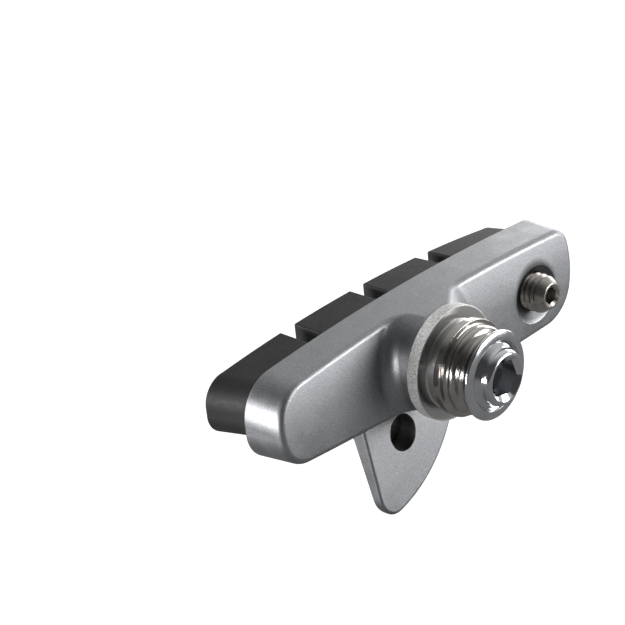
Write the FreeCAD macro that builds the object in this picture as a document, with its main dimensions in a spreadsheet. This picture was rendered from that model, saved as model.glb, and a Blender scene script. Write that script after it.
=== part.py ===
import FreeCAD, Part
import Sketcher
import math
import os
import sys

# Road calliper brake shoe: an open-ended cast holder, a rubber block that slides into it,
# a grub screw that keeps the block in, a wheel guide fin with a screw in its boss, and the
# ball and cup washers with the socket-head bolt that clamp the shoe to the brake arm.
#
# Frame, in millimetres: +X runs along the shoe to its open end, +Y points at the rim, +Z up.
# The origin is on the bolt's axis, at the face of the cup washer that the brake arm bears on.
# Each body is drawn from the washer seat on the holder and then placed in that frame.

os.makedirs("parts", exist_ok=True)
doc = FreeCAD.newDocument("brake_shoe")
sheet = doc.addObject("Spreadsheet::Sheet", "sizes")

SIZES = [
    # holder casting
    ("nose_reach", 25.05, "from the bolt axis to the holder's closed end"),
    ("tail_reach", 29.1, "from the bolt axis to the holder's open end"),
    ("tail_bow", 1.4, "how far the open end is bowed outwards"),
    ("tail_lean", 1.8, "how much further out the open end's upper corner stands"),
    ("lip_plane", 8.1, "from the washer seat to the holder's rim lip"),
    ("nose_top", 4.95, "height of the top edge at the closed end"),
    ("tail_top", 6.2, "height of the top edge at the open end"),
    ("top_arc", 295.0, "radius of the arched top edge"),
    ("nose_drop", 4.7, "depth of the bottom edge at the closed end"),
    ("tail_drop", 6.2, "depth of the bottom edge at the open end"),
    ("bottom_arc", 450.0, "radius of the bottom edge"),
    ("nose_round_top", 5.0, "upper corner radius of the closed end"),
    ("nose_round_low", 4.1, "lower corner radius of the closed end"),
    ("tail_round_top", 2.5, "upper corner radius of the open end"),
    ("tail_round_low", 5.4, "lower corner radius of the open end"),
    ("side_draft", 4.0, "draft of the holder's sides, degrees"),
    ("back_round", 0.8, "radius along the holder's back edges"),
    ("lip_round", 0.25, "rounding of the rim lip's outer edge"),
    # back of the holder
    ("crown_radius", 50.0, "radius of the crowned back"),
    ("tail_rise", 1.9, "from the washer seat to the crown towards the open end"),
    ("tail_crown", 2.7, "crown line towards the open end, below the bolt axis"),
    ("nose_rise", 2.25, "from the washer seat to the crown towards the closed end"),
    ("nose_crown", 5.0, "crown line towards the closed end, below the bolt axis"),
    ("seat_radius", 6.35, "radius of the washer seat"),
    ("nose_slope", 8.0, "slope of the boss's side towards the closed end, degrees"),
    ("tail_slope", 40.0, "slope of the boss's side towards the open end, degrees"),
    ("nose_blend", 1.8, "blend of the boss into the back towards the closed end"),
    ("tail_blend", 3.0, "blend of the boss into the back towards the open end"),
    # channel in the holder
    ("rim_wall", 1.3, "wall of the rim round the block"),
    ("end_wall", 1.4, "wall at the closed end"),
    ("recess_depth", 1.2, "depth of the shallow recess that takes the block's base"),
    ("lip_thick", 0.8, "thickness of the retaining lips"),
    ("rail_depth", 1.5, "depth of the slot behind the lips"),
    ("mouth_half", 3.4, "half width between the lips"),
    ("slot_half", 4.2, "half width of the slot behind the lips"),
    ("slide_gap", 0.15, "sliding clearance of the block in the channel"),
    # rubber block
    ("block_plane", 15.0, "from the washer seat to the contact face"),
    ("base_top", 9.0, "from the washer seat to the top of the block's base"),
    ("step_in", 0.45, "step from the base to the blocks"),
    ("face_inset", 0.55, "contact face's end, inside the holder's closed end"),
    ("base_overhang", 0.2, "block's base, beyond the holder's open end"),
    ("face_overhang", 1.1, "contact face's end, beyond the holder's open end"),
    ("base_round", 1.6, "corner radius of the base at the open end"),
    ("face_top", 3.55, "height of the contact face at its ends"),
    ("face_arc", 204.0, "radius of the contact face's arched edge"),
    ("face_drop", 4.25, "depth of the contact face at the open end"),
    ("face_nose_drop", 3.7, "depth of the contact face at the closed end"),
    ("face_low_arc", 900.0, "radius of the contact face's lower edge"),
    ("face_round", 3.3, "corner radius of the contact face"),
    ("rubber_round", 0.2, "rounding of the block's edges"),
    ("groove_width", 2.3, "width of the water grooves"),
    ("groove_floor", 9.4, "from the washer seat to the floor of the grooves"),
    ("groove_middle", 2.2, "centre of the middle groove"),
    ("groove_pitch", 12.35, "spacing of the grooves"),
    # wheel guide fin
    ("fin_sink", 4.6, "level up to which the fin's root runs into the holder"),
    ("fin_round", 0.4, "rounding of the fin's edges"),
    ("fin_curve", 19.5, "radius of the fin's long curved edge"),
    ("tip_round", 2.5, "radius of the fin's tip"),
    ("fin_left", 10.1, "fin edge towards the closed end"),
    ("fin_right", 7.4, "fin root towards the open end"),
    ("fin_drop", 17.9, "depth of the fin's tip below the bolt axis"),
    ("fin_front", 4.6, "fin front face at its root, from the washer seat"),
    ("fin_lean", 2.9, "how far the tip stands forward of the root"),
    ("fin_root", 2.5, "thickness of the fin at its root"),
    ("fin_edge", 1.2, "thickness of the fin at its tip"),
    ("guide_x", -3.9, "fin boss centre along X"),
    ("guide_z", -9.1, "fin boss centre in height"),
    ("guide_radius", 2.95, "outer radius of the fin boss"),
    ("guide_end", 9.6, "fin boss end, from the washer seat"),
    # screws
    ("stop_radius", 2.5, "radius of the block stop screw"),
    ("pin_radius", 2.2, "radius of the screw in the fin boss"),
    ("thread_gap", 0.04, "clearance of a screw in its tapped hole"),
    ("stop_inset", 8.15, "block stop screw, from the holder's open end"),
    ("stop_z", -0.1, "block stop screw in height"),
    ("stop_proud", 2.4, "how far the stop screw stands out of the back"),
    ("stop_socket", 2.0, "hex socket of the stop screw, across flats"),
    ("stop_point", 1.0, "cone at the stop screw's outer end"),
    ("dish_radius", 4.2, "radius of the dish round the stop screw"),
    ("dish_depth", 0.9, "depth of that dish"),
    # bolt and washers
    ("bolt_radius", 3.0, "radius of the bolt's shank"),
    ("washer_gap", 0.35, "clearance of the washers on the shank"),
    ("ball_radius", 8.5, "radius of the ball face of the seat washer"),
    ("seat_back", 6.1, "back radius of the seat washer"),
    ("seat_rim", 7.0, "rim radius of the seat washer"),
    ("seat_thick", 2.0, "height of the seat washer's rim"),
    ("cup_rim", 5.9, "rim radius of the cup washer"),
    ("cup_top", 6.6, "from the washer seat to the cup washer's face"),
    ("cup_face", 4.5, "radius of the cup washer's face"),
    ("neck_radius", 4.3, "radius of the bolt's neck"),
    ("flange_radius", 5.4, "radius of the bolt's flange"),
    ("flange_front", 8.25, "from the washer seat to the flange's front edge"),
    ("flange_edge", 0.45, "thickness of the flange's edge"),
    ("head_foot", 4.2, "radius where the hollow at the foot of the bolt's head begins"),
    ("head_hollow", 0.85, "radius of that hollow"),
    ("head_round", 0.4, "rounding of the head's rim"),
    ("head_top", 9.6, "from the washer seat to the head's face"),
    ("key_mouth", 2.75, "radius of the lead-in cone of the bolt's socket"),
    ("key_flats", 4.0, "hex socket of the bolt, across flats"),
    ("key_depth", 3.4, "depth of the bolt's hex socket"),
    ("bolt_reach", 4.4, "how far the shank enters the holder"),
]
for row, (alias, value, note) in enumerate(SIZES, start=1):
    sheet.set("A%d" % row, note)
    sheet.set("B%d" % row, str(value))
    sheet.setAlias("B%d" % row, alias)
doc.recompute()


class Size:
    """A size with its value and the formula that ties it to the sheet."""

    def __init__(self, value, text):
        self.value = value
        self.text = text

    def __add__(self, other):
        other = as_size(other)
        return Size(self.value + other.value, "(%s + %s)" % (self.text, other.text))

    def __radd__(self, other):
        return as_size(other) + self

    def __sub__(self, other):
        other = as_size(other)
        return Size(self.value - other.value, "(%s - %s)" % (self.text, other.text))

    def __rsub__(self, other):
        return as_size(other) - self

    def __mul__(self, other):
        other = as_size(other)
        return Size(self.value * other.value, "(%s * %s)" % (self.text, other.text))

    def __rmul__(self, other):
        return as_size(other) * self

    def __truediv__(self, other):
        other = as_size(other)
        return Size(self.value / other.value, "(%s / %s)" % (self.text, other.text))

    def __neg__(self):
        return Size(-self.value, "(0 - %s)" % self.text)


def as_size(number):
    if isinstance(number, Size):
        return number
    return Size(float(number), repr(float(number)))


def root(size):
    return Size(math.sqrt(size.value), "sqrt(%s)" % size.text)


def named(alias):
    return Size(float(sheet.get(alias)), "sizes." + alias)


def body(name):
    """A body whose drawing origin is the washer seat, placed from the arm's face."""
    made = doc.addObject("PartDesign::Body", name)
    made.Label = name
    made.setExpression("Placement.Base.y", "sizes.cup_top")
    return made


def origin_feature(owner, role):
    for item in owner.Origin.OriginFeatures:
        if item.Role == role:
            return item
    raise RuntimeError("no " + role)


def sketch(owner, name, plane, shift=(0, 0, 0)):
    """A sketch on one of the body's planes, moved by sizes in the plane's own axes."""
    made = owner.newObject("Sketcher::SketchObject", name)
    made.AttachmentSupport = [(origin_feature(owner, plane), "")]
    made.MapMode = "FlatFace"
    for axis, amount in zip("xyz", shift):
        amount = as_size(amount)
        if amount.text != "0.0":
            made.setExpression("AttachmentOffset.Base." + axis, amount.text)
    return made


def arc_between(start, end, radius):
    """Arc from start to end; a positive radius turns left, a negative one turns right."""
    dx, dy = end[0] - start[0], end[1] - start[1]
    chord = math.hypot(dx, dy)
    rise = math.sqrt(max(radius * radius - chord * chord / 4.0, 0.0))
    side = 1.0 if radius > 0 else -1.0
    cx = (start[0] + end[0]) / 2.0 - side * rise * dy / chord
    cy = (start[1] + end[1]) / 2.0 + side * rise * dx / chord
    first = math.atan2(start[1] - cy, start[0] - cx)
    last = math.atan2(end[1] - cy, end[0] - cx)
    circle = Part.Circle(FreeCAD.Vector(cx, cy, 0), FreeCAD.Vector(0, 0, 1), abs(radius))
    if side > 0:
        return Part.ArcOfCircle(circle, first, last), 1, 2
    return Part.ArcOfCircle(circle, last, first), 2, 1


def outline(target, corners):
    """Closed outline: each corner is (x, y) for a line to the next, or (x, y, radius)."""
    count = len(corners)
    points = [(as_size(c[0]), as_size(c[1])) for c in corners]
    flat = [(p[0].value, p[1].value) for p in points]
    ends = []
    for i in range(count):
        here, there = flat[i], flat[(i + 1) % count]
        if len(corners[i]) == 3:
            radius = as_size(corners[i][2])
            geometry, first, last = arc_between(here, there, radius.value)
            index = target.addGeometry(geometry, False)
            size = radius if radius.value > 0 else -radius
            mark = target.addConstraint(Sketcher.Constraint("Radius", index, size.value))
            target.setExpression("Constraints[%d]" % mark, size.text)
        else:
            line = Part.LineSegment(FreeCAD.Vector(here[0], here[1], 0),
                                    FreeCAD.Vector(there[0], there[1], 0))
            index = target.addGeometry(line, False)
            first, last = 1, 2
        ends.append((index, first, last))
    for i in range(count):
        index, _, last = ends[i]
        after, first, _ = ends[(i + 1) % count]
        target.addConstraint(Sketcher.Constraint("Coincident", index, last, after, first))
    for i in range(count):
        index, first, _ = ends[i]
        for kind, axis, size in (("DistanceX", -2, points[i][0]), ("DistanceY", -1, points[i][1])):
            if abs(size.value) < 1e-9:
                target.addConstraint(Sketcher.Constraint("PointOnObject", index, first, axis))
            else:
                mark = target.addConstraint(
                    Sketcher.Constraint(kind, -1, 1, index, first, size.value))
                target.setExpression("Constraints[%d]" % mark, size.text)
    return target


def ring(target, x, y, radius):
    x, y, radius = as_size(x), as_size(y), as_size(radius)
    circle = Part.Circle(FreeCAD.Vector(x.value, y.value, 0), FreeCAD.Vector(0, 0, 1),
                         radius.value)
    index = target.addGeometry(circle, False)
    mark = target.addConstraint(Sketcher.Constraint("Radius", index, radius.value))
    target.setExpression("Constraints[%d]" % mark, radius.text)
    for kind, axis, size in (("DistanceX", -2, x), ("DistanceY", -1, y)):
        if abs(size.value) < 1e-9:
            target.addConstraint(Sketcher.Constraint("PointOnObject", index, 3, axis))
        else:
            mark = target.addConstraint(Sketcher.Constraint(kind, -1, 1, index, 3, size.value))
            target.setExpression("Constraints[%d]" % mark, size.text)
    return target


def hexagon(target, flats):
    """A hexagon across flats, centred on the sketch's origin, corners to the sides."""
    corner = flats / math.sqrt(3.0)
    half = flats / 2.0
    return outline(target, [(corner, 0), (corner / 2.0, half), (-corner / 2.0, half),
                            (-corner, 0), (-corner / 2.0, -half), (corner / 2.0, -half)])


def feature(owner, kind, name, profile, reverse=False, **sizes):
    """Pad or Pocket of a sketch, or a Revolution or Groove round a given axis."""
    before = owner.Shape.Volume if owner.Tip else 0.0
    made = owner.newObject("PartDesign::" + kind, name)
    made.Profile = profile
    axis = sizes.pop("axis", None)
    if axis:
        made.ReferenceAxis = axis
        made.Angle = 360.0
    if sizes.pop("middle", False):
        made.Midplane = True
    for key, size in sizes.items():
        made.setExpression(key, as_size(size).text)
    made.Reversed = reverse
    profile.Visibility = False
    doc.recompute()
    change = owner.Shape.Volume - before
    wanted = 1.0 if kind in ("Pad", "Revolution") else -1.0
    if change * wanted <= 0:
        raise RuntimeError("%s changed the volume by %.3f" % (name, change))
    return made


def spin_axis(owner):
    return (origin_feature(owner, "Y_Axis"), [""])


def edges_where(shape, test):
    return ["Edge%d" % (i + 1) for i, edge in enumerate(shape.Edges) if test(edge)]


def rounded(owner, name, test, radius):
    base = owner.Tip
    made = owner.newObject("PartDesign::Fillet", name)
    made.Base = (base, edges_where(base.Shape, test))
    made.setExpression("Radius", as_size(radius).text)
    doc.recompute()
    if not made.Base[1] or abs(made.Shape.Volume - base.Shape.Volume) < 1e-6:
        raise RuntimeError(name + " rounded nothing")
    return made


def runs_along_y(edge):
    line = edge.Vertexes[-1].Point - edge.Vertexes[0].Point
    return line.Length > 1e-6 and abs(line.y) > 0.9 * line.Length


nose_reach = named("nose_reach")
tail_reach = named("tail_reach")
tail_bow = named("tail_bow")
tail_corner = tail_reach - tail_bow
nose_top = named("nose_top")
nose_drop = named("nose_drop")
tail_top = named("tail_top")
tail_drop = named("tail_drop")
top_arc = named("top_arc")
bottom_arc = named("bottom_arc")
nose_round_top = named("nose_round_top")
nose_round_low = named("nose_round_low")
lip_plane = named("lip_plane")
tail_rise = named("tail_rise")
nose_rise = named("nose_rise")
rim_wall = named("rim_wall")
end_wall = named("end_wall")
slide_gap = named("slide_gap")
recess_floor = lip_plane - named("recess_depth")
lip_back = recess_floor - named("lip_thick")
slot_floor = lip_back - named("rail_depth")
thread_gap = named("thread_gap")
stop_radius = named("stop_radius")
pin_radius = named("pin_radius")
bolt_radius = named("bolt_radius")
washer_bore = bolt_radius + named("washer_gap")

# Cast holder
end_height = tail_top + tail_drop
tail_lean = named("tail_lean")
end_arc = ((end_height * end_height + tail_lean * tail_lean) / 4 + tail_bow * tail_bow) / (tail_bow * 2)
holder = body("shoe_holder")
rim = sketch(holder, "rim_outline", "XZ_Plane", (0, 0, -lip_plane))
outline(rim, [
    (tail_corner - tail_lean / 2, -tail_drop, end_arc),
    (tail_corner + tail_lean / 2, tail_top, top_arc),
    (-nose_reach, nose_top),
    (-nose_reach, -nose_drop, bottom_arc),
])
feature(holder, "Pad", "holder_block", rim, Length=lip_plane, TaperAngle=-named("side_draft"))


def corner(right, upper):
    """Test for the upright edge at one corner of the holder."""
    return lambda e: (runs_along_y(e) and (e.CenterOfMass.x > 0) == right
                      and (e.CenterOfMass.z > 0) == upper)


rounded(holder, "nose_upper", corner(False, True), nose_round_top)
rounded(holder, "nose_lower", corner(False, False), nose_round_low)
rounded(holder, "tail_upper", corner(True, True), named("tail_round_top"))
rounded(holder, "tail_lower", corner(True, False), named("tail_round_low"))

# The back is crowned and lies lower towards the closed end; a sloped boss stands on it.
seat_radius = named("seat_radius")
crown_radius = named("crown_radius")
boss_depth = 5
nose_tan = Size(math.tan(math.radians(named("nose_slope").value)), "tan(sizes.nose_slope * 1deg)")
tail_tan = Size(math.tan(math.radians(named("tail_slope").value)), "tan(sizes.tail_slope * 1deg)")


def back_relief(name, rise, crown_line, start, end, slant, far):
    """What is cut from the back between two places along X, with room for the boss.

    slant: tangent of the boss's slope.
    far: the boss is drawn on the side away from the cut, 1 for +X and -1 for -X.
    """
    relief = doc.addObject("PartDesign::Body", name)
    relief.Label = name
    section = sketch(relief, name + "_section", "YZ_Plane", (0, 0, start))
    top = tail_drop * 1.5
    high = root(crown_radius * crown_radius - (top + crown_line) * (top + crown_line))
    low = root(crown_radius * crown_radius - (top - crown_line) * (top - crown_line))
    outline(section, [
        (-1, -top),
        (rise + crown_radius - low, -top, -crown_radius),
        (rise + crown_radius - high, top),
        (-1, top),
    ])
    feature(relief, "Pad", name + "_block", section, Length=end - start)
    slope = sketch(relief, name + "_slope", "XY_Plane")
    outline(slope, [(0, -2), ((seat_radius - slant * 2) * far, -2),
                    ((seat_radius + slant * boss_depth) * far, boss_depth), (0, boss_depth)])
    feature(relief, "Groove", name + "_boss", slope, axis=spin_axis(relief))
    cut = holder.newObject("PartDesign::Boolean", name + "_cut")
    cut.setObjects([relief])
    cut.Type = "Cut"
    doc.recompute()
    return relief


nose_relief = back_relief("nose_relief", nose_rise, named("nose_crown"), -nose_reach - 2,
                          as_size(0), nose_tan, 1)
tail_relief = back_relief("tail_relief", tail_rise, named("tail_crown"), as_size(0),
                          tail_reach + 2, tail_tan, -1)


def foot_edges(side, slant):
    """Test for the hollow edge where the boss meets the back, on one side of the bolt."""
    def test(edge):
        mid = edge.valueAt((edge.FirstParameter + edge.LastParameter) / 2)
        far = math.hypot(mid.x, mid.z)
        return (mid.x * side > 0 and 0.05 < far - seat_radius.value < slant.value * boss_depth
                and mid.y > 0.5 and edge.BoundBox.ZLength > seat_radius.value)
    return test


rounded(holder, "nose_blend_edge", foot_edges(-1, nose_tan), named("nose_blend"))
rounded(holder, "tail_blend_edge", foot_edges(1, tail_tan), named("tail_blend"))


def back_edge(edge):
    """Whether an edge lies between the drafted sides and the back or the boss."""
    return any(edge.isSame(other) for other in rim_edges)


rim_edges = []
for side in holder.Tip.Shape.Faces:
    box = side.BoundBox
    if box.YMax > lip_plane.value - 0.01 and box.YLength > lip_plane.value / 3:
        rim_edges += [e for e in side.Edges if e.BoundBox.YMax < lip_plane.value / 2 + 0.5
                      and not runs_along_y(e)]
rounded(holder, "back_edges", back_edge, named("back_round"))
rounded(holder, "lip_edges", lambda e: e.BoundBox.YMin > lip_plane.value - 0.01,
        named("lip_round"))

# Wheel guide fin: a leaning wedge that thins towards its tip, cut to its curved outline.
fin_drop = named("fin_drop")
fin_left = named("fin_left")
fin_right = named("fin_right")
fin_front = named("fin_front")
fin_lean = named("fin_lean")
fin_root = named("fin_root")
fin_edge = named("fin_edge")
fin_top = -named("fin_sink")
fin_toe = -fin_drop - 1
fin_side = sketch(holder, "fin_section", "YZ_Plane", (0, 0, -fin_left))
outline(fin_side, [
    (fin_front, fin_top),
    (fin_front - fin_lean, fin_toe),
    (fin_front - fin_lean + fin_edge, fin_toe),
    (fin_front + fin_root, fin_top),
])
feature(holder, "Pad", "fin_wedge", fin_side, Length=fin_left + fin_right)

# The tip's round and the long curve of the fin's edge meet smoothly at (join_x, join_z).
fin_base = -tail_drop - 0.15
tip_round = named("tip_round")
fin_curve = named("fin_curve")
tip_x = tip_round - fin_left
tip_z = tip_round - fin_drop
span_x = fin_right - tip_x
span_z = fin_base - tip_z
span = root(span_x * span_x + span_z * span_z)
reach = fin_curve - tip_round
along = (span * span + reach * reach - fin_curve * fin_curve) / (span * 2)
aside = root(reach * reach - along * along)
centre_x = tip_x + (span_x * along - span_z * aside) / span
centre_z = tip_z + (span_z * along + span_x * aside) / span
join_x = centre_x + (tip_x - centre_x) * fin_curve / reach
join_z = centre_z + (tip_z - centre_z) * fin_curve / reach
fin_shape = sketch(holder, "fin_outline", "XZ_Plane", (0, 0, -lip_plane - 1))
outline(fin_shape, [
    (fin_right, fin_base, -fin_curve),
    (join_x, join_z, -tip_round),
    (-fin_left, tip_z),
    (-fin_left - 1, tip_z),
    (-fin_left - 1, fin_toe - 1),
    (fin_right + 1, fin_toe - 1),
    (fin_right + 1, fin_base),
])
feature(holder, "Pocket", "fin_edge_cut", fin_shape, True, Length=lip_plane + 6)
rounded(holder, "fin_edges", lambda e: e.CenterOfMass.z < fin_base.value - 0.5
        and e.Length > fin_edge.value * 1.5, named("fin_round"))

# Boss at the fin's root, with its tapped hole.
guide_x = named("guide_x")
guide_z = named("guide_z")
guide_end = named("guide_end")
barrel = sketch(holder, "guide_boss", "XZ_Plane", (0, 0, -guide_end))
ring(barrel, guide_x, guide_z, named("guide_radius"))
feature(holder, "Pad", "guide_barrel", barrel, Length=guide_end - fin_front)
tap = sketch(holder, "guide_tap", "XZ_Plane", (0, 0, -guide_end - 1))
ring(tap, guide_x, guide_z, pin_radius + thread_gap)
feature(holder, "Pocket", "guide_hole", tap, True, Length=guide_end + 2)

# Channel for the rubber block: a shallow recess, a mouth between two lips, and a slot.
edge_run = tail_corner + nose_reach


def top_edge(x, inset):
    """Height of the arched top edge at a place along X, moved inwards."""
    rise = (tail_top - nose_top) * (x + nose_reach) / edge_run
    return nose_top - inset + rise + (x + nose_reach) * (tail_corner - x) / (top_arc * 2)


def low_edge(x, inset):
    """Height of the bottom edge at a place along X, moved inwards."""
    fall = (tail_drop - nose_drop) * (x + nose_reach) / edge_run
    return inset - nose_drop - fall - (x + nose_reach) * (tail_corner - x) / (bottom_arc * 2)


recess = sketch(holder, "recess_outline", "XZ_Plane", (0, 0, -lip_plane))
open_end = tail_reach + 1
nose_wall = -nose_reach + end_wall
upper_turn = nose_wall + (nose_round_top - rim_wall) * 1.05
lower_turn = nose_wall + (nose_round_low - rim_wall) * 1.05
outline(recess, [
    (open_end, low_edge(open_end, rim_wall)),
    (open_end, top_edge(open_end, rim_wall), top_arc - rim_wall),
    (upper_turn, top_edge(upper_turn, rim_wall), (nose_round_top - rim_wall) * 1.03),
    (nose_wall, top_edge(upper_turn, nose_round_top)),
    (nose_wall, low_edge(lower_turn, nose_round_low), (nose_round_low - rim_wall) * 1.03),
    (lower_turn, low_edge(lower_turn, rim_wall), bottom_arc - rim_wall),
])
feature(holder, "Pocket", "recess", recess, True, Length=named("recess_depth"))


def channel(name, half_width, top, bottom):
    """A straight slot, open at the shoe's open end and rounded at the closed end."""
    cut = sketch(holder, name + "_outline", "XZ_Plane", (0, 0, -top))
    start = nose_wall + rim_wall
    outline(cut, [
        (open_end, -half_width),
        (open_end, half_width),
        (start + half_width, half_width, half_width * 1.02),
        (start + half_width, -half_width),
    ])
    feature(holder, "Pocket", name, cut, True, Length=top - bottom)


mouth_half = named("mouth_half")
slot_half = named("slot_half")
channel("mouth", mouth_half, recess_floor, lip_back)
channel("slot", slot_half, lip_back, slot_floor)

# Tapped holes: the bolt's in the boss, the stop screw's in its dish near the open end.
bolt_tap = sketch(holder, "bolt_tap", "XZ_Plane", (0, 0, 1))
ring(bolt_tap, 0, 0, bolt_radius + thread_gap)
feature(holder, "Pocket", "bolt_hole", bolt_tap, Length=slot_floor + 2)
stop_x = tail_reach - named("stop_inset")
stop_z = named("stop_z")
dish_radius = named("dish_radius")
dish_depth = named("dish_depth")
dish = sketch(holder, "stop_dish", "XY_Plane", (stop_x, 0, stop_z))
dish_arc = (dish_radius * dish_radius + dish_depth * dish_depth) / (dish_depth * 2)
outline(dish, [
    (0, tail_rise - 1),
    (dish_radius, tail_rise - 1),
    (dish_radius, tail_rise, dish_arc),
    (0, tail_rise + dish_depth),
])
feature(holder, "Groove", "stop_recess", dish, axis=(dish, ["V_Axis"]))
stop_tap = sketch(holder, "stop_tap", "XZ_Plane", (0, 0, 1))
ring(stop_tap, stop_x, stop_z, stop_radius + thread_gap)
feature(holder, "Pocket", "stop_hole", stop_tap, Length=slot_floor + 2)

# Rubber block: base in the recess, neck and rail in the channel, four blocks above.
block = body("pad_insert")
base_top = named("base_top")
base_tail = tail_reach + named("base_overhang")
base_round = named("base_round")
inset = rim_wall + slide_gap
base = sketch(block, "base_outline", "XZ_Plane", (0, 0, -base_top))
base_nose = nose_wall + slide_gap


def lens(target, ends, heights, arcs, rounds):
    """Outline of the block seen from the rim: arched edges between rounded ends.

    ends: left, right; heights: low left, low right, top right, top left;
    arcs: top, low; rounds: upper left, lower left, right.
    """
    left, right = ends
    low_left, low_right, top_right, top_left = heights
    high_arc, low_arc = arcs
    upper, lower, end_round = rounds
    outline(target, [
        (right - end_round, low_right, end_round),
        (right, low_right + end_round),
        (right, top_right - end_round, end_round),
        (right - end_round, top_right, high_arc),
        (left + upper, top_left, upper),
        (left, top_left - upper),
        (left, low_left + lower, lower),
        (left + lower, low_left, low_arc),
    ])


def block_lens(target, left, right, margin, end_round):
    """The block's outline, parallel to the holder's edges."""
    upper = nose_round_top - margin
    lower = nose_round_low - margin
    lens(target, (left, right),
         (low_edge(left + lower, margin), low_edge(right - end_round, margin),
          top_edge(right - end_round, margin), top_edge(left + upper, margin)),
         (top_arc - margin, bottom_arc - margin), (upper, lower, end_round))


block_lens(base, base_nose, base_tail, inset, base_round)
feature(block, "Pad", "block_base", base, Length=base_top - recess_floor)

step_in = named("step_in")
block_plane = named("block_plane")
foot = sketch(block, "block_foot", "XZ_Plane", (0, 0, -base_top))
block_lens(foot, base_nose + step_in, base_tail - step_in, inset + step_in, base_round)
face = sketch(block, "contact_face", "XZ_Plane", (0, 0, -block_plane))
face_drop = named("face_drop")
face_top = named("face_top")
face_round = named("face_round")
lens(face, (named("face_inset") - nose_reach, tail_reach + named("face_overhang")),
     (-named("face_nose_drop"), -face_drop, face_top, face_top),
     (named("face_arc"), named("face_low_arc")), (face_round, face_round * 0.85, face_round))
loft = block.newObject("PartDesign::AdditiveLoft", "blocks")
loft.Profile = foot
loft.Sections = [face]
loft.Ruled = True
doc.recompute()

groove_width = named("groove_width")
groove = sketch(block, "water_groove", "XZ_Plane", (0, 0, -block_plane - 1))
groove_pitch = named("groove_pitch")
left_wall = named("groove_middle") - groove_pitch - groove_width / 2
groove_end = tail_drop * 1.5
outline(groove, [
    (left_wall, -groove_end),
    (left_wall + groove_width, -groove_end),
    (left_wall + groove_width, groove_end),
    (left_wall, groove_end),
])
cut = feature(block, "Pocket", "first_groove", groove, True,
              Length=block_plane - named("groove_floor") + 1)
row = block.newObject("PartDesign::LinearPattern", "groove_row")
row.Originals = [cut]
row.Direction = (origin_feature(block, "X_Axis"), [""])
row.setExpression("Length", (groove_pitch * 2).text)
row.Occurrences = 3
block.Tip = row
doc.recompute()

rubber_round = named("rubber_round")
rounded(block, "block_edges", lambda e: e.BoundBox.YMin > base_top.value + 0.1
        and e.Length > rubber_round.value * 5, rubber_round)

rail_start = nose_wall + rim_wall + slide_gap
for name, half_width, top, bottom in (
        ("neck", mouth_half - slide_gap, recess_floor, lip_back - slide_gap),
        ("rail", slot_half - slide_gap, lip_back - slide_gap, slot_floor + slide_gap)):
    profile = sketch(block, name + "_outline", "XZ_Plane", (0, 0, -top))
    outline(profile, [
        (tail_corner, -half_width),
        (tail_corner, half_width),
        (rail_start + half_width + slide_gap, half_width, half_width * 1.02),
        (rail_start + half_width + slide_gap, -half_width),
    ])
    feature(block, "Pad", name, profile, Length=top - bottom)


def turned(name, points):
    """A piece turned round the bolt's axis from its half section."""
    made = body(name)
    half = sketch(made, name + "_section", "XY_Plane")
    outline(half, points)
    feature(made, "Revolution", name + "_turned", half, axis=spin_axis(made))
    return made


# Seat washer: flat back on the boss, ball face to the front.
ball_radius = named("ball_radius")
seat_rim = named("seat_rim")
seat_thick = named("seat_thick")
ball_centre = root(ball_radius * ball_radius - seat_rim * seat_rim) - seat_thick


def ball_face(radius):
    """Y of the ball face at a distance from the bolt's axis."""
    return ball_centre - root(ball_radius * ball_radius - radius * radius)


turned("seat_washer", [
    (washer_bore, 0),
    (washer_bore, ball_face(washer_bore), ball_radius),
    (seat_rim, -seat_thick),
    (seat_rim, -seat_thick + 0.9),
    (named("seat_back"), 0),
])

# Cup washer: its hollow back rides on the ball face.
cup_rim = named("cup_rim")
cup_top = named("cup_top")
cup_face = named("cup_face")
cup_foot = ball_face(cup_rim)
turned("cup_washer", [
    (washer_bore, ball_face(washer_bore), ball_radius),
    (cup_rim, cup_foot),
    (cup_rim, cup_foot - 0.45),
    (cup_rim - 0.3, cup_foot - 0.7, -2.8),
    (cup_face, -cup_top),
    (washer_bore, -cup_top),
])

# Fixing bolt: shank, hollow neck, flange, and a bell-shaped head with a hex socket.
flange_radius = named("flange_radius")
flange_front = named("flange_front")
flange_edge = named("flange_edge")
head_foot = named("head_foot")
head_hollow = named("head_hollow")
head_round = named("head_round")
head_top = named("head_top")
neck_radius = named("neck_radius")
bolt_reach = named("bolt_reach")
key_mouth = named("key_mouth")
key_flats = named("key_flats")
lead_depth = key_mouth - key_flats / 2
head_side = head_foot - head_hollow
bolt = turned("fixing_bolt", [
    (0, bolt_reach),
    (0, -head_top + lead_depth),
    (key_flats / 2, -head_top + lead_depth),
    (key_mouth, -head_top),
    (head_side - head_round, -head_top, head_round),
    (head_side, -head_top + head_round),
    (head_side, -flange_front - head_hollow, -head_hollow),
    (head_foot, -flange_front),
    (flange_radius - 0.15, -flange_front, 0.15),
    (flange_radius, -flange_front + 0.15),
    (flange_radius, -flange_front + flange_edge, -1.9),
    (neck_radius, -cup_top),
    (bolt_radius, -cup_top),
    (bolt_radius, bolt_reach - 0.5),
    (bolt_radius - 0.5, bolt_reach),
])
key = sketch(bolt, "bolt_key", "XZ_Plane", (0, 0, head_top + 0.5))
hexagon(key, key_flats)
feature(bolt, "Pocket", "bolt_socket", key, Length=named("key_depth") + 0.5)


def grub_screw(name, x, z, radius, front, back, nose):
    """A headless screw along Y, chamfered at both ends."""
    made = body(name)
    half = sketch(made, name + "_section", "XY_Plane", (x, 0, z))
    outline(half, [
        (0, back),
        (0, front),
        (radius - nose, front),
        (radius, front + nose),
        (radius, back - 0.5),
        (radius - 0.5, back),
    ])
    feature(made, "Revolution", name + "_turned", half, axis=(half, ["V_Axis"]))
    return made


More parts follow.
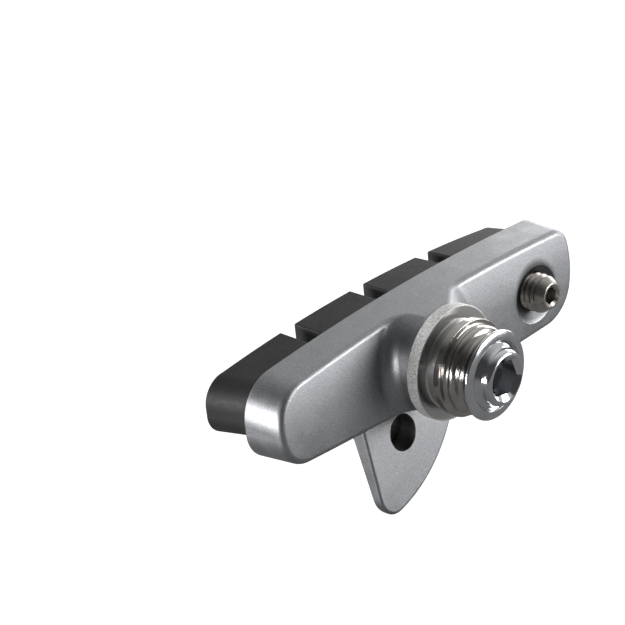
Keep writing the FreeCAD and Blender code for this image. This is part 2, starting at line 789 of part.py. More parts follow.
stop_front = tail_rise - named("stop_proud")
stop = grub_screw("stop_screw", stop_x, stop_z, stop_radius, stop_front,
                  slot_floor + slide_gap, named("stop_point"))
stop_key = sketch(stop, "stop_key", "XZ_Plane", (stop_x, stop_z, -stop_front + 0.5))
hexagon(stop_key, named("stop_socket"))
feature(stop, "Pocket", "stop_hex", stop_key, Length=2.3)

guide = grub_screw("guide_screw", guide_x, guide_z, pin_radius, fin_front + 1.4, guide_end,
                   as_size(0.3))
slot_cut = sketch(guide, "guide_slot", "XZ_Plane", (guide_x, guide_z, -fin_front - 0.9))
slot_far = pin_radius + 0.2
slot_near = pin_radius - 0.8
outline(slot_cut, [(slot_near, slot_far), (-slot_far, -slot_near), (-slot_near, -slot_far),
                   (slot_far, slot_near)])
feature(guide, "Pocket", "guide_slot_cut", slot_cut, Length=1.4)

doc.recompute()
faults = []
bodies = [item for item in doc.Objects if item.isDerivedFrom("PartDesign::Body")
          and item not in (nose_relief, tail_relief)]
for item in doc.Objects:
    if "Invalid" in item.State or "Error" in item.State:
        faults.append(item.Name)
for item in bodies:
    if item.Shape.isNull() or not item.Shape.isValid() or len(item.Shape.Solids) != 1:
        faults.append("%s shape (%d solids)" % (item.Label, len(item.Shape.Solids)))
if faults:
    print("faults:", ", ".join(faults))
    sys.exit(1)
for item in bodies:
    item.Shape.exportStep("parts/%s.step" % item.Label)
    print("%-13s %8.1f mm3" % (item.Label, item.Shape.Volume))
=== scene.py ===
# %% [markdown]
# # A road brake shoe
#
# This lesson dresses a small metal and rubber part: the shoe of a road bicycle's rim brake.
# The shapes that carry and fit are already made as solids, in metres, and are loaded first.
# The camera, the floor and the light come next. Each later step gives one piece of the shoe its
# finish, or makes the piece again in finer form.

# %% Load the solids
import bpy
import bmesh
import math
from mathutils import Matrix, Vector


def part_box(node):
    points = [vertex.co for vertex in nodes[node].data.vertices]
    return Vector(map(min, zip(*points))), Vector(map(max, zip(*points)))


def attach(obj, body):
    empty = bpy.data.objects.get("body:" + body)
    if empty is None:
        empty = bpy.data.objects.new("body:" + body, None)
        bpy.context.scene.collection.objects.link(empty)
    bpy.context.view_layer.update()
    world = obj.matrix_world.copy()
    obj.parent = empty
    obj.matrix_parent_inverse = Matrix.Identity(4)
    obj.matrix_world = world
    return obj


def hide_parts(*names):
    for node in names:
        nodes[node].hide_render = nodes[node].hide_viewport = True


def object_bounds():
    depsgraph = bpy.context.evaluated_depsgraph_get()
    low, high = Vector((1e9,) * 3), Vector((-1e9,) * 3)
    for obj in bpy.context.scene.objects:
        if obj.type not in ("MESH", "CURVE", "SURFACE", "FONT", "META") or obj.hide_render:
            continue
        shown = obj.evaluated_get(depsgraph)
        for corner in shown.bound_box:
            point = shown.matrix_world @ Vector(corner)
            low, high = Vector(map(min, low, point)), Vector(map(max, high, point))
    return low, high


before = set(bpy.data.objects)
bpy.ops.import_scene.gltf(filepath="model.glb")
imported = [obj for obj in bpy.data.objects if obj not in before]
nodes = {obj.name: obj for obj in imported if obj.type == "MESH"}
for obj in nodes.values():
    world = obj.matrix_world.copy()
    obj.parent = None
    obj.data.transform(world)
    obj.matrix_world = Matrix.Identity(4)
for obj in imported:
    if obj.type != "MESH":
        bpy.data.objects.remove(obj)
cad_box = [list(corner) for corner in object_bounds()]
MM = 0.001
print("solids:", sorted(nodes), "box:", cad_box)

# %% [markdown]
# ## The camera
#
# A small product is photographed with a long lens from a distance, so its far end is nearly as
# large as its near end. The camera stands in front and to the left of the shoe, looks down by
# about 25 degrees, and is rolled by 6 degrees. Its three axes are written as a matrix, because
# that keeps the roll with the aim.

# %% Place the camera
FOCAL_LENGTH = 107.31
SENSOR_WIDTH = 36.0
CAMERA_PLACE = Vector((-147.413, -123.089, 98.052)) * MM
CAMERA_RIGHT = Vector((0.67799, -0.72831, -0.09951))
CAMERA_UP = Vector((0.36932, 0.22046, 0.90278))
CAMERA_BACK = Vector((-0.63556, -0.64882, 0.41844))
camera_data = bpy.data.cameras.new("camera")
camera_data.lens = FOCAL_LENGTH
camera_data.sensor_width = SENSOR_WIDTH
camera_data.clip_start = 0.01
camera = bpy.data.objects.new("camera", camera_data)
bpy.context.scene.collection.objects.link(camera)
turn = Matrix((CAMERA_RIGHT, CAMERA_UP, CAMERA_BACK)).transposed().to_4x4()
camera.matrix_world = Matrix.Translation(CAMERA_PLACE) @ turn
bpy.context.scene.camera = camera
print("camera at", camera.location)

# %% [markdown]
# ## The floor
#
# The shoe stands on a pale floor that runs out of view. A real white table looks white because
# much light falls on it. Here the lamps stay at a plain level, and a glow that only the camera
# sees in full lifts the floor to white, so that it still shows the soft shadow. A share of the
# glow is also given to mirrored and refracted light, so that polished steel shows a pale floor.

# %% Make the floor
FLOOR_SIZE = 3.0
floor_level = cad_box[0][2]
floor_mesh = bmesh.new()
bmesh.ops.create_grid(floor_mesh, x_segments=1, y_segments=1, size=FLOOR_SIZE)
bmesh.ops.translate(floor_mesh, verts=floor_mesh.verts, vec=(0, 0, floor_level))
floor_data = bpy.data.meshes.new("floor")
floor_mesh.to_mesh(floor_data)
floor_mesh.free()
floor = bpy.data.objects.new("floor", floor_data)
bpy.context.scene.collection.objects.link(floor)
print("floor at", floor_level)


# %% A node that calculates
def math_node(tree, operation, first, second):
    """A Math node whose inputs are numbers or other nodes' outputs."""
    node = tree.nodes.new("ShaderNodeMath")
    node.operation = operation
    for socket, value in zip(node.inputs, (first, second)):
        if isinstance(value, (int, float)):
            socket.default_value = value
        else:
            tree.links.new(value, socket)
    return node.outputs[0]


# %% Paint the floor
FLOOR_GREY = 0.32
CAMERA_GLOW = 0.95
MIRROR_SHARE = 0.03
floor_paint = bpy.data.materials.new("pale_floor")
floor_paint.use_nodes = True
tree = floor_paint.node_tree
tree.nodes.clear()
paint = tree.nodes.new("ShaderNodeBsdfDiffuse")
paint.inputs["Color"].default_value = (FLOOR_GREY, FLOOR_GREY, FLOOR_GREY, 1)
glow = tree.nodes.new("ShaderNodeEmission")
ray = tree.nodes.new("ShaderNodeLightPath")
mirrored = math_node(tree, "MAXIMUM", ray.outputs["Is Glossy Ray"],
                     ray.outputs["Is Transmission Ray"])
seen = math_node(tree, "MAXIMUM", ray.outputs["Is Camera Ray"],
                 math_node(tree, "MULTIPLY", mirrored, MIRROR_SHARE))
tree.links.new(math_node(tree, "MULTIPLY", seen, CAMERA_GLOW), glow.inputs["Strength"])
both = tree.nodes.new("ShaderNodeAddShader")
tree.links.new(paint.outputs[0], both.inputs[0])
tree.links.new(glow.outputs[0], both.inputs[1])
output = tree.nodes.new("ShaderNodeOutputMaterial")
tree.links.new(both.outputs[0], output.inputs["Surface"])
floor_data.materials.append(floor_paint)
print("floor glows by", CAMERA_GLOW, "for the camera, with a share of", MIRROR_SHARE, "in mirrors")

# %% [markdown]
# ## The lamps
#
# Smooth metal shows its lamps more than its own colour, so the lamps are placed for what the
# metal shows. Two broad low boxes stand at the right, one of them in front: they brighten the
# flat back from the top down, and the bolt and washers shade the part beside them. A low box at
# the left and behind draws the bright band on the closed end. A small one at the left lights the
# rim of the ball washer, and a weak one stands behind, on the rubber's side. Nothing stands at
# the left in front, and that keeps a dark side in the polished steel.

# %% Hang the lamps
def soft_box(name, azimuth, distance, middle, width, height, watts):
    """A rectangular lamp that faces the shoe, with its middle at a height above the floor."""
    angle = math.radians(azimuth)
    stand = Vector((math.cos(angle) * distance, math.sin(angle) * distance, floor_level + middle))
    data = bpy.data.lights.new(name, "AREA")
    data.shape = "RECTANGLE"
    data.size = width
    data.size_y = height
    data.energy = watts
    lamp = bpy.data.objects.new(name, data)
    bpy.context.scene.collection.objects.link(lamp)
    lamp.location = stand
    lamp.rotation_euler = (-stand).to_track_quat("-Z", "Y").to_euler()
    return lamp


# Azimuth in degrees from +X towards +Y, then distance, middle, width, height, and watts.
LAMPS = {
    "right_front_box": (-49, 0.3, 0.055, 0.2, 0.1, 0.66),
    "right_box": (14, 0.3, 0.075, 0.28, 0.15, 0.4),
    "left_back_box": (150, 0.3, 0.042, 0.13, 0.08, 0.68),
    "left_box": (180, 0.3, 0.035, 0.06, 0.06, 0.26),
    "back_box": (118, 0.3, 0.05, 0.12, 0.08, 0.16),
}
for lamp_name, facts in LAMPS.items():
    print(soft_box(lamp_name, *facts).name, "gives", facts[-1], "W")

# %% [markdown]
# ## The room
#
# Beyond the lamps the room is a smooth gradient: pale towards the upper right, nearly dark
# towards the left. The direction that a ray leaves in is multiplied with the direction of the
# pale side, and a Map Range node turns the result into a strength. The camera itself sees a
# plain white wall behind the floor.

# %% Shade the room
PALE_SIDE = Vector((0.85, 0.2, 0.5)).normalized()
ROOM_DARK = 0.07
ROOM_PALE = 0.8
world = bpy.data.worlds.new("studio")
bpy.context.scene.world = world
world.use_nodes = True
room = world.node_tree
direction = room.nodes.new("ShaderNodeTexCoord")
turned_to = room.nodes.new("ShaderNodeVectorMath")
turned_to.operation = "DOT_PRODUCT"
turned_to.inputs[1].default_value = PALE_SIDE
room.links.new(direction.outputs["Generated"], turned_to.inputs[0])
graded = room.nodes.new("ShaderNodeMapRange")
graded.interpolation_type = "SMOOTHSTEP"
graded.inputs["From Min"].default_value = 0.0
graded.inputs["From Max"].default_value = 1.0
graded.inputs["To Min"].default_value = ROOM_DARK
graded.inputs["To Max"].default_value = ROOM_PALE
room.links.new(turned_to.outputs["Value"], graded.inputs["Value"])
room_ray = room.nodes.new("ShaderNodeLightPath")
wall = math_node(room, "MAXIMUM", graded.outputs["Result"], room_ray.outputs["Is Camera Ray"])
room.links.new(wall, room.nodes["Background"].inputs["Strength"])
room.nodes["Background"].inputs["Color"].default_value = (1, 1, 1, 1)
bpy.context.scene.view_settings.view_transform = "Standard"
print("room is pale towards", tuple(round(v, 2) for v in PALE_SIDE))

# %% [markdown]
# ## How a finish is made
#
# Each finish is a Principled BSDF whose colour, roughness and bump come from noise. The noise
# reads Object coordinates, which are metres here, so a scale of 8000 gives grains of about
# an eighth of a millimetre. The bump's distance is a real depth too.

# %% Start a finish
def begin(name, metallic, colour, roughness):
    """A new finish: its material, its node tree and its shader."""
    made = bpy.data.materials.new(name)
    made.use_nodes = True
    shader = made.node_tree.nodes["Principled BSDF"]
    shader.inputs["Metallic"].default_value = metallic
    shader.inputs["Base Color"].default_value = (*colour, 1)
    shader.inputs["Roughness"].default_value = roughness
    return made, made.node_tree, shader


def place(tree):
    """Object coordinates, made once for each finish."""
    for node in tree.nodes:
        if node.bl_idname == "ShaderNodeTexCoord":
            return node.outputs["Object"]
    return tree.nodes.new("ShaderNodeTexCoord").outputs["Object"]


# %% Noise, and what it is spread over
def noise(tree, scale, detail=2.0, vector=None):
    """Soft noise between 0 and 1, with grains about 1 / scale metres across."""
    node = tree.nodes.new("ShaderNodeTexNoise")
    node.inputs["Scale"].default_value = scale
    node.inputs["Detail"].default_value = detail
    tree.links.new(vector or place(tree), node.inputs["Vector"])
    return node.outputs["Fac"]


def spread(tree, value, low, high, start=0.3, end=0.7):
    """The value between start and end, spread over low to high."""
    node = tree.nodes.new("ShaderNodeMapRange")
    for key, number in (("From Min", start), ("From Max", end), ("To Min", low), ("To Max", high)):
        node.inputs[key].default_value = number
    tree.links.new(value, node.inputs["Value"])
    return node.outputs["Result"]


# %% Colour and bump
def tint(tree, shader, value, dark, pale, start=0.3, end=0.7):
    """Base colour between two colours, by a value."""
    ramp = tree.nodes.new("ShaderNodeValToRGB")
    ramp.color_ramp.elements[0].position = start
    ramp.color_ramp.elements[0].color = (*dark, 1)
    ramp.color_ramp.elements[1].position = end
    ramp.color_ramp.elements[1].color = (*pale, 1)
    tree.links.new(value, ramp.inputs["Fac"])
    tree.links.new(ramp.outputs["Color"], shader.inputs["Base Color"])


def bump(tree, shader, value, depth):
    """Bump with a depth in metres, laid over the bump that the shader already has."""
    node = tree.nodes.new("ShaderNodeBump")
    node.inputs["Distance"].default_value = depth
    node.inputs["Strength"].default_value = 1.0
    tree.links.new(value, node.inputs["Height"])
    if shader.inputs["Normal"].is_linked:
        tree.links.new(shader.inputs["Normal"].links[0].from_socket, node.inputs["Normal"])
    tree.links.new(node.outputs["Normal"], shader.inputs["Normal"])


# %% [markdown]
# ## The holder's coat
#
# The holder is cast in light alloy and has a satin silver-grey coat. Seen close, the coat has a
# fine metal grain and a very slight orange peel. The grain changes colour and height a little,
# a slower noise changes the roughness, and a third one, about a millimetre wide, is the peel.
# In the dish round the stop screw, shade is painted into the coat, so its colour is darker there.
# The painted shade is found by its distance from the stop screw's axis, which the solid gives.

# %% Find the dish and paint shade in it
def near_axis(tree, axis, inner, outer):
    """One within the inner distance from an axis along Y, and zero beyond the outer one."""
    shifted = tree.nodes.new("ShaderNodeVectorMath")
    shifted.operation = "SUBTRACT"
    shifted.inputs[1].default_value = axis
    tree.links.new(place(tree), shifted.inputs[0])
    flat = tree.nodes.new("ShaderNodeVectorMath")
    flat.operation = "MULTIPLY"
    flat.inputs[1].default_value = (1, 0, 1)
    tree.links.new(shifted.outputs[0], flat.inputs[0])
    far = tree.nodes.new("ShaderNodeVectorMath")
    far.operation = "LENGTH"
    tree.links.new(flat.outputs[0], far.inputs[0])
    return spread(tree, far.outputs["Value"], 1.0, 0.0, inner, outer)


def darken(tree, shader, mask, share):
    """Multiplies the base colour by the share where the mask is one."""
    mix = tree.nodes.new("ShaderNodeMix")
    mix.data_type = "RGBA"
    mix.blend_type = "MULTIPLY"
    factor, colour, multiplier = (mix.inputs[index] for index in (0, 6, 7))
    tree.links.new(mask, factor)
    tree.links.new(shader.inputs["Base Color"].links[0].from_socket, colour)
    multiplier.default_value = (share, share, share, 1)
    tree.links.new(mix.outputs[2], shader.inputs["Base Color"])


# %% Coat the holder
def axis_of(node_name):
    """Where a solid's own axis along Y passes through the plane of X and Z."""
    low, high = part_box(node_name)
    return Vector(((low[0] + high[0]) / 2, 0, (low[2] + high[2]) / 2))


def dress(node_name, finish):
    """Gives a solid one finish."""
    data = nodes[node_name].data
    data.materials.clear()
    data.materials.append(finish)
    print(node_name, "wears", finish.name)


STOP_AXIS = axis_of("stop_screw")
DISH_FLOOR = 3.6 * MM
DISH_EDGE = 4.4 * MM
# The share of the colour that the painted shade leaves in the stop screw's dish.
DISH_PAINTED_SHADE = 0.3


def holder_coat():
    """Satin silver-grey coat on cast alloy."""
    made, tree, shader = begin("holder_coat", 1.0, (0.3, 0.306, 0.318), 0.5)
    grain = noise(tree, 6500.0, 3.0)
    tint(tree, shader, grain, (0.235, 0.241, 0.253), (0.365, 0.371, 0.383))
    # Painted shade: the base colour is multiplied down in the stop screw's dish, where shadow
    # falls.
    darken(tree, shader, near_axis(tree, STOP_AXIS, DISH_FLOOR, DISH_EDGE), DISH_PAINTED_SHADE)
    cloud = noise(tree, 420.0, 3.0)
    tree.links.new(spread(tree, cloud, 0.4, 0.49), shader.inputs["Roughness"])
    bump(tree, shader, grain, 0.013 * MM)
    bump(tree, shader, noise(tree, 900.0), 0.01 * MM)
    return made


dress("shoe_holder", holder_coat())

# %% [markdown]
# ## The rubber block
#
# Moulded brake rubber is matt and nearly black, with a dry grey bloom on its skin. The bloom is
# a slow cloud in the colour. A fine grain and a coarser one roughen the skin.

# %% Mould the rubber
def brake_rubber():
    """Matt, nearly black rubber that mirrors less than plastic does."""
    made, tree, shader = begin("brake_rubber", 0.0, (0.02, 0.02, 0.02), 0.55)
    shader.inputs["Specular IOR Level"].default_value = 0.36
    bloom = noise(tree, 260.0, 4.0)
    tint(tree, shader, bloom, (0.012, 0.012, 0.013), (0.024, 0.0235, 0.023))
    grain = noise(tree, 4200.0, 3.0)
    tree.links.new(spread(tree, grain, 0.5, 0.66), shader.inputs["Roughness"])
    bump(tree, shader, grain, 0.012 * MM)
    bump(tree, shader, noise(tree, 1100.0), 0.01 * MM)
    return made


dress("pad_insert", brake_rubber())

# %% [markdown]
# ## Turning small metal pieces
#
# Washers and bolts come off a lathe, and Blender's spin works in the same way. A half-section is
# drawn beside the bolt's axis as a chain of straight cuts and arcs, and is then spun once round
# the axis. The chain is given in millimetres: how far from the axis, and how far along it. Small
# arcs at the corners catch the light, as the broken edges of a real turned piece do. The spin
# can leave faces turned inwards, so the doubles are merged and the normals worked out again.

# %% Draw a half-section
ARC_STEP = 9
VERT = bmesh.types.BMVert
EDGE = bmesh.types.BMEdge


def only(items, kind):
    """The vertices or the edges among mixed items, each of them once."""
    return list(dict.fromkeys(item for item in items if isinstance(item, kind)))


def half_section(mesh, start, cuts):
    """Edges from start. A cut is its end, or an arc's centre with the degrees of its turn."""
    last = mesh.verts.new((start[0] * MM, start[1] * MM, 0))
    for radius, along, *degrees in cuts:
        if degrees:
            steps = max(3, round(abs(degrees[0]) / ARC_STEP))
            arc = bmesh.ops.spin(mesh, geom=[last], cent=Vector((radius, along, 0)) * MM,
                                 axis=(0, 0, 1), angle=math.radians(degrees[0]), steps=steps)
            last = only(arc["geom_last"], VERT)[0]
        else:
            fresh = mesh.verts.new((radius * MM, along * MM, 0))
            mesh.edges.new((last, fresh))
            last = fresh


# %% Spin it and put it in place
TURN_STEPS = 96
SHARP = math.radians(32)
MERGE = 0.0005 * MM


def spin_round(mesh):
    """Spins the half-section once round the bolt's axis and closes the seam."""
    bmesh.ops.remove_doubles(mesh, verts=mesh.verts, dist=MERGE)
    bmesh.ops.spin(mesh, geom=mesh.verts[:] + mesh.edges[:], cent=(0, 0, 0), axis=(0, 1, 0),
                   angle=math.tau, steps=TURN_STEPS, use_merge=True)
    bmesh.ops.remove_doubles(mesh, verts=mesh.verts, dist=MERGE)


def finish_piece(mesh, name, finish, node_name):
    """Makes an object of a closed mesh, shades it and puts it in place of a solid."""
    bmesh.ops.recalc_face_normals(mesh, faces=mesh.faces)
    for face in mesh.faces:
        face.smooth = True
    for edge in mesh.edges:
        edge.smooth = edge.is_manifold and edge.calc_face_angle(0.0) < SHARP
    open_edges = sum(1 for edge in mesh.edges if not edge.is_manifold)
    data = bpy.data.meshes.new(name)
    mesh.to_mesh(data)
    mesh.free()
    data.materials.append(finish)
    piece = bpy.data.objects.new(name, data)
    bpy.context.scene.collection.objects.link(piece)
    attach(piece, "root")
    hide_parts(node_name)
    print(name, "has", len(data.polygons), "faces and", open_edges, "open edges")


# %% [markdown]
# ## The ball washer
#
# This washer is blasted with fine beads, which leaves a pale sparkling grain on its rim. Its
# front is a flat land, with a ball in the middle that the cup washer covers. The land is smoother
# than the rim, so it mirrors the dark washer in front of it. The rim is less metallic than the
# land, because blasting breaks a surface up so finely that it scatters light like chalk.

# %% Blast the ball washer
LAND_GRAIN = 0.12


def around_bolt(tree):
    """Distance from the bolt's axis, and a vector of that and the place along the axis."""
    parts = tree.nodes.new("ShaderNodeSeparateXYZ")
    tree.links.new(place(tree), parts.inputs[0])
    squares = math_node(tree, "ADD", math_node(tree, "POWER", parts.outputs["X"], 2.0),
                        math_node(tree, "POWER", parts.outputs["Z"], 2.0))
    radius = math_node(tree, "SQRT", squares, 0.0)
    joined = tree.nodes.new("ShaderNodeCombineXYZ")
    tree.links.new(radius, joined.inputs["X"])
    tree.links.new(parts.outputs["Y"], joined.inputs["Y"])
    return radius, joined.outputs[0]


def blasted_alloy():
    """Coarse pale grain on the rim, and a little of it on the land."""
    made, tree, shader = begin("blasted_alloy", 1.0, (0.5, 0.5, 0.5), 0.5)
    radius, _ = around_bolt(tree)
    rim = spread(tree, radius, LAND_GRAIN, 1.0, 6.75 * MM, 6.95 * MM)
    grain = noise(tree, 5200.0, 3.0)
    coarse = math_node(tree, "MULTIPLY", spread(tree, grain, 0.0, 1.0, 0.38, 0.62), rim)
    tint(tree, shader, coarse, (0.5, 0.5, 0.495), (0.86, 0.86, 0.85), 0.0, 1.0)
    tree.links.new(spread(tree, rim, 1.0, 0.15, LAND_GRAIN, 1.0), shader.inputs["Metallic"])
    tree.links.new(spread(tree, rim, 0.3, 0.5, LAND_GRAIN, 1.0), shader.inputs["Roughness"])
    bump(tree, shader, math_node(tree, "MULTIPLY", grain, rim), 0.04 * MM)
    return made


# %% Turn the ball washer
BORE = 3.4
RIM = 7.0
SEAT_BACK = 6.6
LAND = 4.6
seat = bmesh.new()
half_section(seat, (BORE, SEAT_BACK), (
    (6.1, SEAT_BACK), (6.85, 6.15), (6.85, 6.0, -90), (RIM, 4.72), (6.88, 4.72, -90),
    (5.45, LAND), (5.3, 4.45), (5.2, 2.78), (5.1, 2.64), (4.8, 2.41),
    (4.45, 2.19), (4.1, 1.98), (3.75, 1.8), (BORE, 1.64), (BORE, SEAT_BACK)))
spin_round(seat)
finish_piece(seat, "ball_washer", blasted_alloy(), "seat_washer")

# %% [markdown]
# ## The cup washer
#
# The cup washer and the bolt are turned, so their fine lines run round the bolt's axis. Noise
# that reads only the distance from the axis and the place along it gives such lines. The cup
# washer's steel is polished and a little warm. Its hollow back follows the ball washer's ball, a
# hair in front of it. Its side has a thin lip, a round bead and a neck, in that order.

# %% Polish the cup washer
def turned_lines(tree, scale):
    """Lines round the bolt's axis, about 1 / scale metres apart."""
    _, along = around_bolt(tree)
    return noise(tree, scale, 2.0, along)


def polished_steel():
    """Warm steel with faint turned lines and smears."""
    made, tree, shader = begin("polished_steel", 1.0, (0.42, 0.4, 0.375), 0.2)
    lines = turned_lines(tree, 9000.0)
    smear = noise(tree, 700.0, 3.0)
    tint(tree, shader, smear, (0.36, 0.338, 0.312), (0.47, 0.452, 0.43))
    tree.links.new(spread(tree, smear, 0.13, 0.2), shader.inputs["Roughness"])
    bump(tree, shader, lines, 0.0012 * MM)
    return made


# %% Turn the cup washer
CUP_FLOOR = 1.6
CUP_FACE = 4.5
cup = bmesh.new()
half_section(cup, (BORE, CUP_FLOOR), (
    (4.1, 1.94), (4.8, 2.37), (5.4, 2.82), (5.78, 3.14), (5.88, 3.1),
    (5.9, 2.3), (5.78, 2.3, -90), (5.4, 2.14), (5.22, 2.06), (5.1, 1.92), (5.05, 1.72),
    (4.75, 1.2, -130), (4.72, 0.5), (4.56, 0.4), (CUP_FACE, 0.28), (CUP_FACE, 0.1),
    (4.4, 0.0), (BORE, 0.0), (BORE, CUP_FLOOR)))
spin_round(cup)
finish_piece(cup, "hollow_washer", polished_steel(), "cup_washer")

# %% [markdown]
# ## The bolt
#
# The bolt is plated and nearly a mirror. Its flange has a rounded rim, then a hollow, and the
# head rises from the hollow like a low dome with a hex socket. The body is turned first and left
# open at the socket's mouth. A circle of six sides is then cut finer, so that it has as many
# corners as the mouth, and the two are bridged to make the socket's lead-in. The hex is extruded
# inwards and capped.

# %% Plate the bolt
def bolt_chrome():
    """Bright plating with the faintest turned lines."""
    made, tree, shader = begin("bolt_chrome", 1.0, (0.56, 0.57, 0.59), 0.12)
    lines = turned_lines(tree, 7000.0)
    smear = noise(tree, 500.0, 3.0)
    tint(tree, shader, smear, (0.52, 0.53, 0.55), (0.6, 0.61, 0.63))
    tree.links.new(spread(tree, smear, 0.08, 0.17), shader.inputs["Roughness"])
    bump(tree, shader, lines, 0.0007 * MM)
    return made


# %% Cut a hex socket
NEAR = 0.002
POINT_SHARE = 0.07


def mouth_edges(mesh, mouth, top):
    """The ring of edges that a turned body was left open at."""
    ring = []
    for edge in mesh.edges:
        away = [abs(math.hypot(vert.co.x, vert.co.z) / MM - mouth) for vert in edge.verts]
        along = [abs(vert.co.y / MM - top) for vert in edge.verts]
        if max(away + along) < NEAR:
            ring.append(edge)
    return ring


def fine_hexagon(mesh, corner, turned, along):
    """A hexagon across the axis, cut into as many edges as a full turn has."""
    corners = bmesh.ops.create_circle(mesh, segments=6, radius=corner * MM)["verts"]
    upright = Matrix.Rotation(math.radians(90), 3, "X")
    bmesh.ops.rotate(mesh, verts=corners, cent=(0, 0, 0),
                     matrix=Matrix.Rotation(math.radians(turned), 3, "Y") @ upright)
    bmesh.ops.translate(mesh, verts=corners, vec=(0, along * MM, 0))
    sides = only((edge for vert in corners for edge in vert.link_edges), EDGE)
    fine = bmesh.ops.subdivide_edges(mesh, edges=sides, cuts=TURN_STEPS // 6 - 1)
    return only(fine["geom_inner"] + fine["geom_split"], EDGE)


def cut_socket(mesh, mouth, top, flats, turned, depth):
    """Bridges the open mouth to a hexagon, extrudes that inwards and closes it with a point."""
    corner = flats / math.sqrt(3)
    mouth_ring = mouth_edges(mesh, mouth, top)
    hexagon = fine_hexagon(mesh, corner, turned, top + (mouth - corner))
    bmesh.ops.bridge_loops(mesh, edges=mouth_ring + hexagon)
    deeper = bmesh.ops.extrude_edge_only(mesh, edges=hexagon)["geom"]
    bmesh.ops.translate(mesh, verts=only(deeper, VERT), vec=(0, depth * MM, 0))
    bottom = bmesh.ops.contextual_create(mesh, geom=only(deeper, EDGE))["faces"]
    point = bmesh.ops.poke(mesh, faces=bottom)["verts"]
    bmesh.ops.translate(mesh, verts=point, vec=(0, POINT_SHARE * corner * MM, 0))


# %% Turn the bolt
HEAD_TOP = -3.0
BOLT_MOUTH = 2.74
BOLT_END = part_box("fixing_bolt")[1][1] / MM
SHANK = 3.0
BOLT_KEY = 4.0
BOLT_KEY_TURN = 40.0
BOLT_KEY_DEPTH = 1.9
bolt = bmesh.new()
half_section(bolt, (0.0, BOLT_END), (
    (SHANK - 0.4, BOLT_END), (SHANK, BOLT_END - 0.4), (SHANK, 0.02),
    (4.3, 0.0), (4.5, -0.4), (4.9, -0.8), (5.25, -0.98), (5.25, -1.13, -90), (5.4, -1.2),
    (5.2, -1.2, -70), (3.9, 2.372, -13), (4.28, -1.59), (4.22, -1.53), (4.19, -1.34),
    (4.13, -1.3), (3.62, -1.74), (3.5, -1.86), (3.43, -2.02), (3.4, -2.3), (2.7, -2.3, -80),
    (BOLT_MOUTH, HEAD_TOP)))
spin_round(bolt)
cut_socket(bolt, BOLT_MOUTH, HEAD_TOP, BOLT_KEY, BOLT_KEY_TURN, BOLT_KEY_DEPTH)
finish_piece(bolt, "flanged_bolt", bolt_chrome(), "fixing_bolt")

# %% [markdown]
# ## The small screws
#
# Both small screws are nickelled and darker, with a brown cast that comes and goes in spots.

# %% Nickel the screws
def screw_steel():
    """Dark nickel with brown spots, rougher where it is brown."""
    made, tree, shader = begin("screw_steel", 1.0, (0.4, 0.38, 0.355), 0.3)
    spots = noise(tree, 1600.0, 4.0)
    tint(tree, shader, spots, (0.27, 0.245, 0.22), (0.47, 0.45, 0.425))
    tree.links.new(spread(tree, spots, 0.36, 0.25), shader.inputs["Roughness"])
    bump(tree, shader, noise(tree, 5000.0), 0.003 * MM)
    return made


nickel = screw_steel()
print("both screws wear", nickel.name)

# %% [markdown]
# ## The slotted screw
#
# The short screw in the fin's boss shows only its slotted face. The plug is turned, and its face
# is closed with one flat polygon. Two parallel cuts divide that polygon, and the strip between
# them is pushed in to make the slot.

# %% Turn the plug
PLUG_RADIUS = 2.18
PLUG_FRONT, PLUG_BACK = (corner[1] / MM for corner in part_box("guide_screw"))
plug = bmesh.new()
half_section(plug, (0.0, PLUG_BACK), (
    (2.0, PLUG_BACK), (PLUG_RADIUS, PLUG_BACK - 0.2), (PLUG_RADIUS, PLUG_FRONT + 0.25),
    (1.95, PLUG_FRONT + 0.02), (1.9, PLUG_FRONT)))
spin_round(plug)
open_ring = [edge for edge in plug.edges if edge.is_boundary]
bmesh.ops.contextual_create(plug, geom=open_ring)
print("front face has", len(open_ring), "sides")

# %% Cut the slot
SLOT_HALF = 0.36
SLOT_DEPTH = 0.8
SLOT_TURN = -58
ACROSS = Matrix.Rotation(math.radians(SLOT_TURN), 3, "Y") @ Vector((0, 0, 1))
for side in (-1, 1):
    front = [item for item in plug.faces if len(item.verts) > 20]
    edging = [part for item in front for part in (*item.verts, *item.edges)]
    bmesh.ops.bisect_plane(plug, geom=front + list(dict.fromkeys(edging)), plane_no=ACROSS,
                           plane_co=ACROSS * side * SLOT_HALF * MM)


def between_cuts(face):
    """Whether a face is the strip of the flat front that the slot takes away."""
    middle = face.calc_center_median()
    in_front = abs(face.normal.y) > 0.99 and middle.y < (PLUG_FRONT + 0.1) * MM
    return in_front and len(face.verts) > 5 and abs(middle.dot(ACROSS)) < 0.1 * MM


strip = [face for face in plug.faces if between_cuts(face)]
pushed = bmesh.ops.extrude_face_region(plug, geom=strip)["geom"]
bmesh.ops.translate(plug, verts=only(pushed, VERT), vec=(0, SLOT_DEPTH * MM, 0))
bmesh.ops.delete(plug, geom=strip, context="FACES_ONLY")
bmesh.ops.translate(plug, verts=plug.verts, vec=axis_of("guide_screw"))
print("slot strips:", len(strip))
finish_piece(plug, "slotted_plug", nickel, "guide_screw")

# %% [markdown]
# ## The stop screw's thread
#
# A thread is a tooth that climbs as it goes round. The tooth of one turn is drawn as a chain and
# spun with a rise in each step, so that every turn meets the one before it. Two cuts square to
# the axis trim the ends, and the holes that they leave are closed. The point in front is turned
# like the bolt's head, with its own hex socket, and stands on the thread's end.

# %% Wind the thread
PITCH = 0.8
THREAD_STEPS = 48
CORE = 2.1
SCREW_FRONT, SCREW_BACK = (corner[1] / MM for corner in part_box("stop_screw"))
TOOTH = ((2.42, 0.3), (2.46, 0.36), (2.42, 0.42), (CORE, 0.72), (CORE, PITCH))


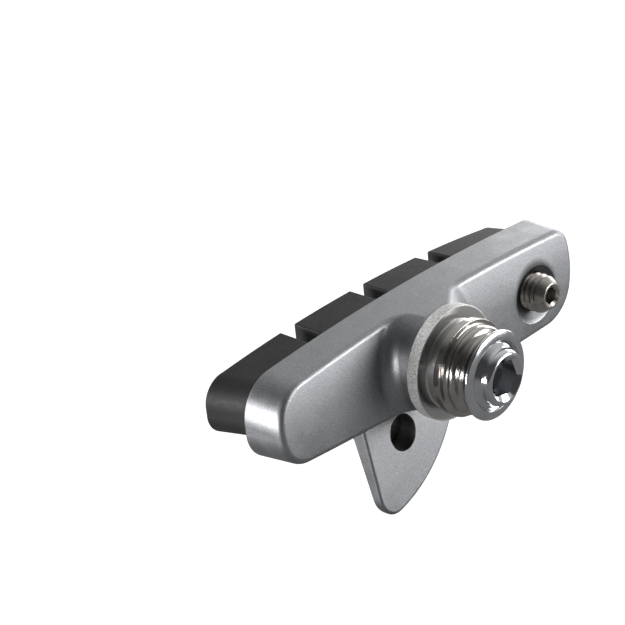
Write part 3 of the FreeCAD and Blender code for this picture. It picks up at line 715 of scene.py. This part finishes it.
def behind_front(cuts):
    """Cuts whose places along the axis are counted from the stop screw's front."""
    return [(radius, SCREW_FRONT + along) for radius, along in cuts]


screw = bmesh.new()
half_section(screw, (CORE, SCREW_FRONT), behind_front(TOOTH))
turns = math.ceil((SCREW_BACK - SCREW_FRONT) / PITCH)
bmesh.ops.spin(screw, geom=screw.verts[:] + screw.edges[:], cent=(0, 0, 0), axis=(0, 1, 0),
               dvec=(0, PITCH * MM / THREAD_STEPS, 0), angle=math.tau * turns,
               steps=THREAD_STEPS * turns)
bmesh.ops.remove_doubles(screw, verts=screw.verts, dist=2 * MERGE)
print("thread of", turns, "turns")

# %% Trim the thread's ends
THREAD_FRONT = SCREW_FRONT + 1.25
THREAD_BACK = SCREW_BACK - 0.05
for cut_at, outwards in ((THREAD_FRONT, -1), (THREAD_BACK, 1)):
    everything = screw.verts[:] + screw.edges[:] + screw.faces[:]
    cut = bmesh.ops.bisect_plane(screw, geom=everything, plane_co=(0, cut_at * MM, 0),
                                 plane_no=(0, outwards, 0), clear_outer=True)["geom_cut"]
    bmesh.ops.holes_fill(screw, edges=only(cut, EDGE), sides=0)
print("thread from", round(THREAD_FRONT, 2), "to", round(THREAD_BACK, 2), "mm")

# %% Turn the point and join the two
TIP_BACK = 1.7
TIP_MOUTH = 1.4
STOP_KEY = 2.0
STOP_KEY_TURN = 20.0
STOP_KEY_DEPTH = 1.5
tip = bmesh.new()
half_section(tip, (0.0, SCREW_FRONT + TIP_BACK), behind_front((
    (CORE, TIP_BACK), (2.12, 1.2), (2.3, 1.12), (2.36, 1.02), (2.3, 0.9),
    (1.72, 0.06), (1.62, 0.0), (TIP_MOUTH, 0.0))))
spin_round(tip)
cut_socket(tip, TIP_MOUTH, SCREW_FRONT, STOP_KEY, STOP_KEY_TURN, STOP_KEY_DEPTH)
tip_data = bpy.data.meshes.new("tip")
tip.to_mesh(tip_data)
tip.free()
screw.from_mesh(tip_data)
bpy.data.meshes.remove(tip_data)
bmesh.ops.translate(screw, verts=screw.verts, vec=STOP_AXIS)
finish_piece(screw, "threaded_stop", nickel, "stop_screw")
